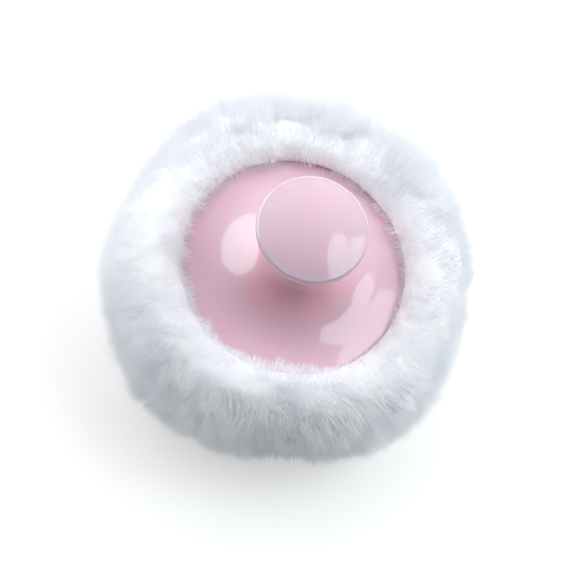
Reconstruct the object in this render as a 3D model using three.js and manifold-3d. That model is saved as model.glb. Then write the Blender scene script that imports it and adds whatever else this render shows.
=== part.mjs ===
// Powder puff: a hollow grip handle, screwed to a plate that holds a plush puff by its gathered mouth.
// Millimetres, +Z up along the handle's axis. The origin is the centre of the face that the puff rests on.
import * as THREE from "three";
import { mergeVertices } from "three/addons/utils/BufferGeometryUtils.js";
import Module from "manifold-3d";

const wasm = await Module();
wasm.setup();

// Clearances
const FIT_GAP = 0.15; // between two moulded pieces that seat in each other
const SOFT_GAP = 0.3; // between a soft piece and whatever it lies against

const OVERALL_HEIGHT = 53.5; // table to the top of the knob

// Handle: flange, flared stem and knob in one moulding
const FLANGE_DIAMETER = 50;
const RIM_THICKNESS = 2.4; // at the edge
const RIM_BAND = 4.5; // straight band between the flare and the edge
const RIM_SLOPE = 6.5; // fall of that band towards the edge, in degrees
const RIM_FILLET = 1.1;
const SHELL_WALL = 1.8;
const WAIST_DIAMETER = 12;
const WAIST_RISE = 12.5; // narrowest point above the rim
const KNOB_DIAMETER = 24;
const KNOB_LIP = 0.8; // thickness of the knob's edge
const LIP_FILLET = 0.35;
const CUP_LAND = 3; // width of the seat round the knob's shallow cup
const CUP_DEPTH = 0.8;
const SOCKET_DIAMETER = 7; // takes the cap's spigot
const CAVITY_RISE = 8; // ceiling of the hollow underside above the rim
const SKIRT_DIAMETER = 31; // neck that the gathered mouth grips
const SKIRT_WALL = 2;
const BOSS_DIAMETER = 7;
const RIB_COUNT = 6;
const RIB_THICKNESS = 1.2;

// Knob cap
const CAP_EDGE = 0.8;
const CAP_FILLET = 0.45;
const CAP_DOME = 1.8;
const CAP_WALL = 1.6;
const CAP_RING_WALL = 1;
const SPIGOT_LENGTH = 7;
const SPIGOT_WALL = 1.2;
const SPIGOT_CHAMFER = 0.5;
const SLOT_WIDTH = 1;
const SLOT_LENGTH = 4.5;

// Retaining plate and its screw
const PLATE_DIAMETER = 44;
const PLATE_THICKNESS = 2;
const PLATE_FILLET = 0.8;
const PLATE_RING_HEIGHT = 2.5;
const PLATE_RING_WALL = 1.2;
const HUB_DIAMETER = 9;
const HUB_DROP = 2.2;
const SCREW_DIAMETER = 2.9;
const SCREW_LENGTH = 12; // under the head
const SCREW_POINT = 1.6;
const HEAD_DIAMETER = 5.6;
const HEAD_HEIGHT = 2;
const HEAD_CHAMFER = 0.5;
const DRIVE_LENGTH = 3;
const DRIVE_WIDTH = 0.8;
const DRIVE_DEPTH = 1.2;
const PILOT_SPARE = 1; // hole left beyond the screw's point

// Puff: plush cover, the elastic in its hem, and its filling
const PUFF_DIAMETER = 80.6; // over the body of the pile, without its loose ends
const PUFF_FULLNESS = 2.2; // exponent of the section's superellipse, 2 is an ellipse
const WIDEST_HEIGHT = 17.5;
const REST_DIAMETER = 40;
const CREST_OUTSET = 6.5; // top of the pile outside the flange's edge
const CREST_RISE = 6.3; // top of the pile above the rim
const CREST_WAVE = 0.8;
const CREST_DIP = 3; // fall of the crest towards one side
const CREST_DIP_SIDE = 110; // that side's direction, in degrees
const PILE_DEPTH = 9.3; // round the sides
const REST_PILE = 6; // pressed flat underneath
const FABRIC_THICKNESS = 0.8;
const ELASTIC_DIAMETER = 2;
const HEM_OPENING = Math.PI / 4; // where the turned hem stops, below the fabric that it leaves
const FILL_THICKNESS = 11; // under the plate
const FILL_LIP = 2.2; // filling that swells up round the plate
const FILL_BULGE_HEIGHT = 14;
// Uneven outline of the pile: lobes round the puff, depth in mm and phase in degrees
const LOBES = [
  { count: 3, depth: 0.52, phase: 30 },
  { count: 4, depth: 0.59, phase: 123 },
  { count: 5, depth: 0.6, phase: 114 },
  { count: 6, depth: 0.3, phase: -131 },
];

// Facets
const TURN_SEGMENTS = 40;
const SOFT_SEGMENTS = 32;
const SCREW_SEGMENTS = 24;
const CURVE_STEPS = 8;
const FILLET_STEPS = 2;
const SOFT_STEPS = 6;
const CORD_STEPS = 8;
const CUT_MARGIN = 1; // how far a cutter passes the face that it opens
const WELD = 1e-4; // vertices this near are one
const SAME_POINT = 1e-6; // likewise, on a profile

// Colours and finish
const PINK = 0xe3bccb;
const PLATE_WHITE = 0xe9e6e4;
const PILE_WHITE = 0xf1f2f6;
const FILL_WHITE = 0xf4f2ec;
const ELASTIC_WHITE = 0xeceae6;
const STEEL = 0xb9babd;

const flangeR = FLANGE_DIAMETER / 2;
const waistR = WAIST_DIAMETER / 2;
const knobR = KNOB_DIAMETER / 2;
const cupR = knobR - CUP_LAND;
const socketR = SOCKET_DIAMETER / 2;
const skirtR = SKIRT_DIAMETER / 2;
const skirtInnerR = skirtR - SKIRT_WALL;
const bossR = BOSS_DIAMETER / 2;
const plateR = PLATE_DIAMETER / 2;
const screwR = SCREW_DIAMETER / 2;
const headR = HEAD_DIAMETER / 2;
const elasticR = ELASTIC_DIAMETER / 2;
const hemInnerR = elasticR + SOFT_GAP;
const hemR = hemInnerR + FABRIC_THICKNESS;
const hemRingR = skirtR + SOFT_GAP + hemR;
const puffR = PUFF_DIAMETER / 2;
const restR = REST_DIAMETER / 2;
const crestR = flangeR + CREST_OUTSET;
const mouthR = flangeR + SOFT_GAP;
const liningR = puffR - PILE_DEPTH - FABRIC_THICKNESS;
const shoulderR = plateR + SOFT_GAP + FILL_LIP;

// Heights, stacked from the table up
const floorZ = REST_PILE + FABRIC_THICKNESS;
const fillZ = floorZ + SOFT_GAP;
const plateZ = fillZ + FILL_THICKNESS + SOFT_GAP;
const plateTopZ = plateZ + PLATE_THICKNESS;
const neckZ = plateTopZ + FIT_GAP;
const hemZ = plateTopZ + SOFT_GAP + hemR;
const undersideZ = hemZ + hemR + SOFT_GAP;
const rimZ = undersideZ + RIM_THICKNESS;
const waistZ = rimZ + WAIST_RISE;
const cavityZ = rimZ + CAVITY_RISE;
const knobZ = OVERALL_HEIGHT - CAP_DOME - CAP_EDGE - FIT_GAP;
const cupZ = knobZ - CUP_DEPTH;
const capZ = knobZ + FIT_GAP;
const spigotZ = capZ - SPIGOT_LENGTH;
const crestZ = rimZ + CREST_RISE;
const hubZ = plateZ - HUB_DROP;
const boreZ = hubZ + HEAD_HEIGHT + FIT_GAP;
const headTopZ = boreZ - FIT_GAP;
const pilotZ = headTopZ + SCREW_LENGTH + PILOT_SPARE;
const mouthZ = undersideZ - SOFT_GAP;
const hemSheetZ = mouthZ - FABRIC_THICKNESS;

const QUARTER = Math.PI / 2;
const rimSlope = THREE.MathUtils.degToRad(RIM_SLOPE);

// The flare is an ellipse, upright at the waist, that runs into the rim's band with no corner.
const bandR = flangeR - RIM_BAND;
const bandZ = rimZ + RIM_BAND * Math.tan(rimSlope);
const flareRatio = Math.tan(rimSlope) * (bandR - waistR) / (waistZ - bandZ);
const flareCos = flareRatio / (1 - flareRatio);
const flareSin = Math.sqrt(1 - flareCos ** 2);
const flareWidth = (bandR - waistR) / (1 - flareCos);
const flareHeight = (waistZ - bandZ) / flareSin;
const flareR = waistR + flareWidth;

function revolve(points, segments) {
  const geometry = new THREE.LatheGeometry(points, segments);
  geometry.rotateX(QUARTER);
  return bare(geometry);
}

function bare(geometry) {
  geometry.deleteAttribute("normal");
  geometry.deleteAttribute("uv");
  return mergeVertices(geometry, WELD);
}

function toSolid(geometry) {
  const mesh = bare(geometry);
  return new wasm.Manifold(new wasm.Mesh({
    numProp: 3,
    vertProperties: new Float32Array(mesh.attributes.position.array),
    triVerts: new Uint32Array(mesh.index.array),
  }));
}

function toGeometry(solid) {
  const mesh = solid.getMesh();
  const geometry = new THREE.BufferGeometry();
  geometry.setAttribute("position", new THREE.BufferAttribute(mesh.vertProperties, mesh.numProp));
  geometry.setIndex(new THREE.BufferAttribute(mesh.triVerts, 1));
  return geometry;
}

function block(width, depth, bottom, top) {
  const geometry = new THREE.BoxGeometry(width, depth, top - bottom);
  geometry.translate(0, 0, (bottom + top) / 2);
  return geometry;
}

function piece(name, geometry, color, roughness, metalness = 0) {
  geometry.computeVertexNormals();
  const mesh = new THREE.Mesh(geometry, new THREE.MeshStandardMaterial({ color, roughness, metalness }));
  mesh.name = name;
  return mesh;
}

// The hollow flare's inner wall, one shell thickness under the outer one.
function innerFlare(path) {
  const radiusX = flareWidth + SHELL_WALL;
  const radiusY = flareHeight + SHELL_WALL;
  const start = Math.PI + Math.asin((waistZ - cavityZ) / radiusY);
  const end = Math.PI + Math.acos((flareR - skirtInnerR) / radiusX);
  return path.absellipse(flareR, waistZ, radiusX, radiusY, start, end, false, 0);
}

function handleGeometry() {
  const rimCentreR = flangeR - RIM_FILLET;
  const rimReach = rimCentreR + RIM_FILLET * Math.sin(rimSlope) - bandR;
  const rimCentreZ = bandZ - rimReach * Math.tan(rimSlope) - RIM_FILLET * Math.cos(rimSlope);
  const lipR = knobR - LIP_FILLET;
  const lipZ = knobZ - KNOB_LIP;
  const path = new THREE.Path();
  path.moveTo(0, pilotZ);
  path.lineTo(screwR + FIT_GAP, pilotZ);
  path.lineTo(screwR + FIT_GAP, neckZ);
  path.lineTo(bossR, neckZ);
  path.lineTo(bossR, cavityZ);
  innerFlare(path);
  path.lineTo(skirtInnerR, neckZ);
  path.lineTo(skirtR, neckZ);
  path.lineTo(skirtR, undersideZ);
  path.lineTo(rimCentreR, undersideZ);
  path.absarc(rimCentreR, undersideZ + RIM_FILLET, RIM_FILLET, -QUARTER, 0, false);
  path.absarc(rimCentreR, rimCentreZ, RIM_FILLET, 0, QUARTER - rimSlope, false);
  path.lineTo(bandR, bandZ);
  const flareStart = Math.PI + Math.atan2(flareSin, flareCos);
  path.absellipse(flareR, waistZ, flareWidth, flareHeight, flareStart, Math.PI, true, 0);
  path.absellipse(lipR, waistZ, lipR - waistR, lipZ - waistZ, Math.PI, QUARTER, true, 0);
  path.absarc(lipR, lipZ + LIP_FILLET, LIP_FILLET, -QUARTER, 0, false);
  path.lineTo(knobR, knobZ);
  path.lineTo(cupR, knobZ);
  path.lineTo(cupR, cupZ);
  path.lineTo(socketR, cupZ);
  path.lineTo(socketR, spigotZ - FIT_GAP);
  path.lineTo(0, spigotZ - FIT_GAP);
  const moulding = toSolid(revolve(profilePoints(path), TURN_SEGMENTS));
  return toGeometry(moulding.add(ribs()));
}

// Samples a path, with few points on small fillets and more on the long flares.
function profilePoints(path) {
  const points = [];
  for (const curve of path.curves) {
    const small = curve.isEllipseCurve && Math.max(curve.xRadius, curve.yRadius) < SHELL_WALL;
    const steps = curve.isEllipseCurve ? (small ? FILLET_STEPS : CURVE_STEPS) : 1;
    for (const point of curve.getPoints(steps)) {
      if (!points.length || points.at(-1).distanceTo(point) > SAME_POINT) points.push(point);
    }
  }
  return points;
}

// Webs in the hollow underside, from the boss to the skirt, ending inside the shell.
function ribs() {
  const bottom = plateTopZ + PLATE_RING_HEIGHT + FIT_GAP;
  const wallR = skirtInnerR + SKIRT_WALL / 2;
  const path = new THREE.Path();
  path.moveTo(bossR - FIT_GAP, bottom);
  path.lineTo(wallR, bottom);
  path.lineTo(wallR, rimZ - RIM_FILLET);
  path.lineTo(waistR, cavityZ);
  path.lineTo(bossR - FIT_GAP, cavityZ);
  path.lineTo(bossR - FIT_GAP, bottom);
  const room = toSolid(revolve(profilePoints(path), TURN_SEGMENTS));
  let webs = null;
  for (let index = 0; index < RIB_COUNT / 2; index++) {
    const web = block(2 * skirtR, RIB_THICKNESS, bottom - CUT_MARGIN, cavityZ + CUT_MARGIN);
    web.rotateZ((index + 0.5) * 2 * Math.PI / RIB_COUNT);
    const solid = toSolid(web);
    webs = webs ? webs.add(solid) : solid;
  }
  return room.intersect(webs);
}

function capGeometry() {
  const edgeR = knobR - CAP_FILLET;
  const edgeZ = capZ + CAP_EDGE;
  const domeR = (edgeR * edgeR + CAP_DOME * CAP_DOME) / (2 * CAP_DOME);
  const centreZ = edgeZ + CAP_DOME - domeR;
  const ceilingZ = (radius) => centreZ + Math.sqrt((domeR - CAP_WALL) ** 2 - radius ** 2);
  const spigotR = socketR - FIT_GAP;
  const boreR = spigotR - SPIGOT_WALL;
  const ringR = cupR - FIT_GAP;
  const ringInnerR = ringR - CAP_RING_WALL;
  const path = new THREE.Path();
  path.moveTo(0, ceilingZ(0));
  path.lineTo(boreR, ceilingZ(boreR));
  path.lineTo(boreR, spigotZ);
  path.lineTo(spigotR - SPIGOT_CHAMFER, spigotZ);
  path.lineTo(spigotR, spigotZ + SPIGOT_CHAMFER);
  path.lineTo(spigotR, ceilingZ(spigotR));
  path.lineTo(ringInnerR, ceilingZ(ringInnerR));
  path.lineTo(ringInnerR, cupZ + FIT_GAP);
  path.lineTo(ringR, cupZ + FIT_GAP);
  path.lineTo(ringR, capZ);
  path.lineTo(knobR, capZ);
  path.absarc(edgeR, edgeZ - CAP_FILLET, CAP_FILLET, 0, QUARTER, false);
  path.absarc(0, centreZ, domeR, Math.acos(edgeR / domeR), QUARTER, false);
  let cap = toSolid(revolve(profilePoints(path), TURN_SEGMENTS));
  for (const angle of [0, QUARTER]) {
    const slot = block(2 * socketR, SLOT_WIDTH, spigotZ - CUT_MARGIN, spigotZ + SLOT_LENGTH);
    slot.rotateZ(angle);
    cap = cap.subtract(toSolid(slot));
  }
  return toGeometry(cap);
}

function plateGeometry() {
  const edgeR = plateR - PLATE_FILLET;
  const ringR = skirtInnerR - FIT_GAP;
  const ringInnerR = ringR - PLATE_RING_WALL;
  const holeR = screwR + FIT_GAP;
  const headBoreR = headR + FIT_GAP;
  const ringZ = plateTopZ + PLATE_RING_HEIGHT;
  const path = new THREE.Path();
  path.moveTo(headBoreR, hubZ);
  path.lineTo(HUB_DIAMETER / 2, hubZ);
  path.lineTo(HUB_DIAMETER / 2, plateZ);
  path.lineTo(edgeR, plateZ);
  path.absarc(edgeR, plateZ + PLATE_FILLET, PLATE_FILLET, -QUARTER, 0, false);
  path.absarc(edgeR, plateTopZ - PLATE_FILLET, PLATE_FILLET, 0, QUARTER, false);
  path.lineTo(ringR, plateTopZ);
  path.lineTo(ringR, ringZ);
  path.lineTo(ringInnerR, ringZ);
  path.lineTo(ringInnerR, plateTopZ);
  path.lineTo(holeR, plateTopZ);
  path.lineTo(holeR, boreZ);
  path.lineTo(headBoreR, boreZ);
  path.lineTo(headBoreR, hubZ);
  return revolve(profilePoints(path), TURN_SEGMENTS);
}

function screwGeometry() {
  const headZ = headTopZ - HEAD_HEIGHT;
  const tipZ = headTopZ + SCREW_LENGTH;
  const path = new THREE.Path();
  path.moveTo(0, headZ);
  path.lineTo(headR - HEAD_CHAMFER, headZ);
  path.lineTo(headR, headZ + HEAD_CHAMFER);
  path.lineTo(headR, headTopZ);
  path.lineTo(screwR, headTopZ);
  path.lineTo(screwR, tipZ - SCREW_POINT);
  path.lineTo(0, tipZ);
  let screw = toSolid(revolve(profilePoints(path), SCREW_SEGMENTS));
  for (const angle of [0, QUARTER]) {
    const slot = block(DRIVE_LENGTH, DRIVE_WIDTH, headZ - CUT_MARGIN, headZ + DRIVE_DEPTH);
    slot.rotateZ(angle);
    screw = screw.subtract(toSolid(slot));
  }
  return toGeometry(screw);
}

function elasticGeometry() {
  const geometry = new THREE.TorusGeometry(hemRingR, elasticR, CORD_STEPS, SOFT_SEGMENTS);
  geometry.translate(0, 0, hemZ);
  return bare(geometry);
}

function fullArc(centreR, centreZ, radiusR, radiusZ, start, end, steps) {
  const points = [];
  for (let step = 0; step <= steps; step++) {
    const angle = start + (end - start) * step / steps;
    const c = Math.cos(angle);
    const s = Math.sin(angle);
    const reachR = Math.sign(c) * Math.abs(c) ** (2 / PUFF_FULLNESS);
    const reachZ = Math.sign(s) * Math.abs(s) ** (2 / PUFF_FULLNESS);
    points.push(new THREE.Vector2(centreR + radiusR * reachR, centreZ + radiusZ * reachZ));
  }
  return points;
}

function lobe(angle) {
  let sum = 0;
  for (const { count, depth, phase } of LOBES) {
    sum += depth * Math.cos(count * angle + THREE.MathUtils.degToRad(phase));
  }
  return sum;
}

// The crest lies lower on one side: most at its top, and not at all at the widest row or the mouth.
function crestDip(row, angle) {
  const up = THREE.MathUtils.clamp((row - SOFT_STEPS) / SOFT_STEPS, 0, 1);
  const down = THREE.MathUtils.clamp((row - 2 * SOFT_STEPS) / (SOFT_STEPS / 2), 0, 1);
  const side = Math.max(Math.cos(angle - THREE.MathUtils.degToRad(CREST_DIP_SIDE)), 0);
  return CREST_DIP * up * (1 - down) * side;
}

// The hem is turned once round the elastic, and its raw edge stops short of the fabric.
function hemPoints() {
  const end = 2 * Math.PI - HEM_OPENING;
  const outer = new THREE.EllipseCurve(hemRingR, hemZ, hemR, hemR, QUARTER, end, false, 0);
  const inner = new THREE.EllipseCurve(hemRingR, hemZ, hemInnerR, hemInnerR, end, QUARTER, true, 0);
  return [...outer.getPoints(SOFT_STEPS), ...inner.getPoints(SOFT_STEPS)];
}

function coverGeometry() {
  const flankZ = crestZ - WIDEST_HEIGHT;
  const pile = [
    ...fullArc(restR, WIDEST_HEIGHT, puffR - restR, WIDEST_HEIGHT, -QUARTER, 0, SOFT_STEPS),
    ...fullArc(crestR, WIDEST_HEIGHT, puffR - crestR, flankZ, 0, QUARTER, SOFT_STEPS).slice(1),
    ...fullArc(crestR, rimZ, crestR - mouthR, CREST_RISE, QUARTER, Math.PI, SOFT_STEPS / 2).slice(1),
  ];
  const hem = hemPoints();
  const bulgeZ = FILL_BULGE_HEIGHT;
  const steps = SOFT_STEPS / 2;
  const lining = [
    ...fullArc(shoulderR, bulgeZ, liningR - shoulderR, hemSheetZ - bulgeZ, QUARTER, 0, steps),
    ...fullArc(restR, bulgeZ, liningR - restR, bulgeZ - floorZ, 0, -QUARTER, steps).slice(1),
  ];
  const profile = [
    new THREE.Vector2(0, 0),
    ...pile,
    new THREE.Vector2(mouthR, mouthZ),
    ...hem,
    ...lining,
    new THREE.Vector2(0, floorZ),
  ];
  const geometry = new THREE.LatheGeometry(profile, SOFT_SEGMENTS);
  const position = geometry.attributes.position;
  for (let index = 0; index < position.count; index++) {
    const row = index % profile.length - 1;
    if (row <= 0 || row >= pile.length - 1) continue;
    const x = position.getX(index);
    const z = position.getZ(index);
    const radius = Math.hypot(x, z);
    const angle = Math.atan2(-z, x);
    const share = Math.sin(Math.PI * row / (pile.length - 1));
    const swell = (radius + share * lobe(angle)) / radius;
    const wave = row > SOFT_STEPS ? share * CREST_WAVE * lobe(angle + QUARTER) : 0;
    const lift = wave - crestDip(row, angle);
    position.setXYZ(index, x * swell, position.getY(index) + lift, z * swell);
  }
  geometry.rotateX(QUARTER);
  return bare(geometry);
}

function fillGeometry() {
  const topZ = hemSheetZ - SOFT_GAP;
  const innerR = plateR + SOFT_GAP;
  const pocketR = HUB_DIAMETER / 2 + SOFT_GAP;
  const bulgeR = liningR - SOFT_GAP;
  const bulgeZ = FILL_BULGE_HEIGHT;
  const steps = SOFT_STEPS / 2;
  const profile = [
    new THREE.Vector2(0, fillZ),
    ...fullArc(restR, bulgeZ, bulgeR - restR, bulgeZ - fillZ, -QUARTER, 0, steps),
    ...fullArc(shoulderR, bulgeZ, bulgeR - shoulderR, topZ - bulgeZ, 0, QUARTER, steps).slice(1),
    new THREE.Vector2(innerR, topZ),
    new THREE.Vector2(innerR, plateZ - SOFT_GAP),
    new THREE.Vector2(pocketR, plateZ - SOFT_GAP),
    new THREE.Vector2(pocketR, hubZ - SOFT_GAP),
    new THREE.Vector2(0, hubZ - SOFT_GAP),
  ];
  return revolve(profile, SOFT_SEGMENTS);
}

function handle() {
  const group = new THREE.Group();
  group.name = "handle";
  group.add(piece("handle_body", handleGeometry(), PINK, 0.22));
  group.add(piece("knob_cap", capGeometry(), PINK, 0.2));
  group.add(piece("retaining_plate", plateGeometry(), PLATE_WHITE, 0.5));
  group.add(piece("plate_screw", screwGeometry(), STEEL, 0.35, 1));
  return group;
}

function puff() {
  const group = new THREE.Group();
  group.name = "puff";
  group.add(piece("plush_cover", coverGeometry(), PILE_WHITE, 0.95));
  group.add(piece("hem_elastic", elasticGeometry(), ELASTIC_WHITE, 0.85));
  group.add(piece("fill_pad", fillGeometry(), FILL_WHITE, 0.95));
  return group;
}

const powderPuff = new THREE.Group();
powderPuff.name = "powder_puff";
powderPuff.add(handle(), puff());

export default powderPuff;
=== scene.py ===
"""Powder puff: a gloss pink grip handle in a round white pile puff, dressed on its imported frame."""

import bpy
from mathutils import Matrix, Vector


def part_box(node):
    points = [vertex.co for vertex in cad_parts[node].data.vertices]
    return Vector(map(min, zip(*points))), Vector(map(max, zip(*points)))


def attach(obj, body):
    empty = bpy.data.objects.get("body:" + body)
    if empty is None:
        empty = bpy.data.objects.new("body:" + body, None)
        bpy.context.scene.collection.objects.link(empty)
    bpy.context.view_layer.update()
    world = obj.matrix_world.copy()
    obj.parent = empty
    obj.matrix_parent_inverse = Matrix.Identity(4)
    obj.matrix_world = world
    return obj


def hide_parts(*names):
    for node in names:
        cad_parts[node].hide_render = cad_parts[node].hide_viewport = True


bl_info = {
    "name": "Powder Puff",
    "version": (1, 0, 0),
    "blender": (4, 5, 0),
    "location": "View3D > Sidebar > Powder Puff",
    "description": "Builds a powder puff with a moulded handle and a puff of real fibres",
    "category": "Add Mesh",
}

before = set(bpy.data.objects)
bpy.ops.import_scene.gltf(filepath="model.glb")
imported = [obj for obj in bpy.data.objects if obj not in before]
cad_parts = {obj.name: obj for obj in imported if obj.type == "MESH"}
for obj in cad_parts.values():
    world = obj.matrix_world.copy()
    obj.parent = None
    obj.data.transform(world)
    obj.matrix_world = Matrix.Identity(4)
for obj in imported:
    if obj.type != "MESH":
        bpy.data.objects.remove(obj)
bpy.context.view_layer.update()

import math

import bpy
from bpy.props import FloatProperty, FloatVectorProperty, IntProperty, PointerProperty
from mathutils import Matrix, Vector, noise

FLANGE_LOW, FLANGE_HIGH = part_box("handle_body")
CAP_LOW, CAP_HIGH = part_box("knob_cap")
MM = 0.001
BODY = "root"
VECTOR = "FLOAT_VECTOR"
TURN_STEPS = 128
SOFT_STEPS = 160
CLEARANCE = 0.15 * MM
# Painted shade: the pink round the stem is made redder, standing in for the reddish shade under the knob
STEM_SHADE_TINT = (1.22, 0.94, 0.94)
CLOTH_SCALE = 100.0
CLOTH_FRAMES = 20
CLOTH_LIMIT = 0.6 * MM
HEM_RING, HEM_HEIGHT, HEM_RADIUS = 17.9 * MM, 22.8 * MM, 2.1 * MM
# Where that painted shade tint round the stem fades out into the plain pink of the flare
STEM_EDGE, FLARE_EDGE = 9.0 * MM, 16.0 * MM

# Points along a layer of the puff: across its rest, up to its widest part, on to its crown, into its mouth
REST_STEPS, UNDER_STEPS, SIDE_STEPS, MOUTH_STEPS = 6, 12, 14, 10
WIDEST_ROW = REST_STEPS + UNDER_STEPS
CREST_ROW = WIDEST_ROW + SIDE_STEPS

# Sides of the pile in degrees about Z: off the flange, far over it, low at the crest, pressed, laid flat
BARE_SIDE, FAR_SIDE, LOW_SIDE, PRESSED_SIDE, FLAT_SIDE = -8, 72, 110, 205, 85
BARE_SHARPNESS, BARE_REACH = 1.6, 0.98

# Lobes of the puff's uneven outline: how many, depth in metres, phase in degrees
LOBES = ((3, 0.52 * MM, 30), (4, 0.59 * MM, 123), (5, 0.60 * MM, 114), (6, 0.30 * MM, -131))

# Longer and shorter ends of the pile: middle in degrees, millimetres more, sharpness
FRINGES = ((128, 1.6, 4), (72, 1.7, 4), (14, -1.0, 8), (180, -1.5, 5))

# Fibres: waves per metre, size of the clumps that lean, size and pull of the locks, and the bends of a tip
TUFTS, WAVES, CLUMP, LOWEST = 130.0, 90.0, 2.4 * MM, 0.2 * MM
LOCKS = ((5.0 * MM, 0.12), (1.6 * MM, 0.14))
LEAN, WAVE, STRAY, FALL = 0.22, 0.9, 0.10, 0.05

# The photo's frame and the middle of the flange in it, in pixels, and the width of the camera's sensor
PHOTO_SIZE, FLANGE_ACROSS, FLANGE_DOWN, SENSOR = 576.0, 293.2, 267.9, 36.0

# Panes of the two windows: the middle and the half size of each, in metres
RIGHT_PANES = (
    ((-0.03, 0.085), (0.225, 0.125)),
    ((0.075, -0.155), (0.135, 0.135)),
    ((-0.05, -0.05), (0.1, 0.1)),
)
LEFT_PANES = (((-0.01, -0.12), (0.45, 0.39)),)

# Bright parts of the room: the way to each, the cosine where it begins, sharpness and radiance
GLOWS = (
    ((0.42, 0.88, 0.21), 0.3, 1.5, 1.75),
    ((-0.96, 0.17, 0.21), 0.3, 1.5, 1.7),
    ((-0.33, 0.58, 0.74), 0.3, 1.5, 0.95),
)


def length(label, note, default):
    """A size that a user can change, in metres."""
    return FloatProperty(name=label, description=note, default=default, min=0.0, precision=5, unit="LENGTH")


def colour(label, note, default):
    """A surface colour that a user can change, as linear RGB."""
    return FloatVectorProperty(
        name=label, description=note, default=default, min=0.0, max=1.0, size=3, subtype="COLOR"
    )


def slope(label, note, degrees):
    """An angle that a user can change."""
    return FloatProperty(name=label, description=note, default=math.radians(degrees), subtype="ANGLE")


def number(label, note, default, least=1):
    """A number of things that a user can change."""
    return IntProperty(name=label, description=note, default=default, min=least)


class HandleSettings(bpy.types.PropertyGroup):
    """Sizes and colour of the moulded handle and its cap."""

    flange_radius: length("Flange radius", "Edge of the round flange", FLANGE_HIGH.x)
    rim_height: length("Rim height", "Top of the flange's rim above the table", 27.6 * MM)
    rim_thickness: length("Rim thickness", "Edge of the flange", 2.4 * MM)
    rim_band: length("Rim band", "Straight band between the flare and the edge", 4.5 * MM)
    rim_slope: slope("Rim slope", "Fall of that band", 6.5)
    rim_fillet: length("Rim fillet", "Rounding of the flange's edge", 1.1 * MM)
    wall: length("Wall", "Thickness of the hollow flare", 1.8 * MM)
    waist_radius: length("Waist radius", "Narrowest part of the stem", 6.0 * MM)
    waist_rise: length("Waist rise", "Waist above the rim", 12.5 * MM)
    knob_radius: length("Knob radius", "Edge of the knob", CAP_HIGH.x)
    knob_top: length("Knob top", "Top of the knob above the table", CAP_HIGH.z)
    knob_lip: length("Knob lip", "Edge of the knob under the cap", 0.8 * MM)
    lip_fillet: length("Lip fillet", "Rounding of that edge", 0.35 * MM)
    cap_edge: length("Cap edge", "Height of the cap's edge", 0.8 * MM)
    cap_fillet: length("Cap fillet", "Rounding of the cap's edge", 0.75 * MM)
    cap_dome: length("Cap dome", "Rise of the cap's middle above its edge", 1.8 * MM)
    pink: colour("Pink", "Colour of the moulding", (0.78, 0.525, 0.625))


class PuffSettings(bpy.types.PropertyGroup):
    """Sizes and colours of the soft puff."""

    radius: length("Puff radius", "Tips of the pile round the puff", 41.5 * MM)
    widest: length("Widest height", "Height of the widest part", 17.5 * MM)
    rest_radius: length("Rest radius", "Patch that the puff rests on", 20.0 * MM)
    pile: length("Pile length", "Length of the fibres round the sides", 10.5 * MM)
    crest_radius: length("Crest radius", "Top of the pile round the flange", 31.5 * MM)
    crest_height: length("Crest height", "Top of the pile above the table", 34.6 * MM)
    nest_radius: length("Nest radius", "Where the pile meets the flange", 25.3 * MM)
    fabric: length("Fabric", "Thickness of the backing fabric", 0.8 * MM)
    fill_under: length("Fill under plate", "Filling under the retaining plate", 11.0 * MM)
    fibre_radius: length("Fibre radius", "Thickness of one fibre at its root", 0.0355 * MM)
    guards: number("Long fibres", "Waved fibres in each sector", 4300)
    downs: number("Fine fibres", "Straight fibres in each sector", 18400)
    linings: number("Lining", "Fibres lying down the inner slope", 7500)
    wisps: number("Wisps", "Stray fibres over the flange's edge", 1500)
    sectors: number("Sectors", "Pieces that the pile is divided into", 12, least=2)
    tip_white: colour("Tip white", "Colour of the fibres at their tips", (0.978, 0.982, 0.994))
    root_white: colour("Root white", "Colour of the fibres at their roots", (0.97, 0.976, 0.992))


class StageSettings(bpy.types.PropertyGroup):
    """Camera and light."""

    elevation: slope("Elevation", "Camera above the table", 69.0)
    roll: slope("Roll", "Camera turned about its view", 27.5)
    distance: length("Distance", "Camera from the rim of the handle", 0.5)
    lens: FloatProperty(name="Lens", description="Focal length", default=142.8, unit="CAMERA")


def alone(piece):
    """Make one object the only selected and active one."""
    bpy.ops.object.select_all(action="DESELECT")
    piece.select_set(True)
    bpy.context.view_layer.objects.active = piece


def primitive(add_shape, name, **settings):
    """Add a primitive at the origin under a name."""
    bpy.ops.object.select_all(action="DESELECT")
    add_shape(location=(0, 0, 0), **settings)
    piece = bpy.context.object
    piece.name = piece.data.name = name
    return piece


def close_edit():
    """Merge what coincides, turn the normals out and leave edit mode."""
    bpy.ops.mesh.select_all(action="SELECT")
    bpy.ops.mesh.remove_doubles(threshold=1e-6)
    bpy.ops.mesh.normals_make_consistent(inside=False)
    bpy.ops.object.mode_set(mode="OBJECT")


def duplicate(piece, name):
    """Copy a piece under a new name."""
    alone(piece)
    bpy.ops.object.duplicate()
    copy = bpy.context.object
    copy.name = copy.data.name = name
    return copy


def delete_faces(piece, wanted):
    """Delete the wanted faces of a piece."""
    alone(piece)
    bpy.ops.object.mode_set(mode="EDIT")
    bpy.ops.mesh.select_mode(type="FACE")
    bpy.ops.mesh.select_all(action="DESELECT")
    bpy.ops.object.mode_set(mode="OBJECT")
    for face in piece.data.polygons:
        face.select = wanted(face)
    bpy.ops.object.mode_set(mode="EDIT")
    bpy.ops.mesh.delete(type="FACE")
    bpy.ops.object.mode_set(mode="OBJECT")


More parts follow.
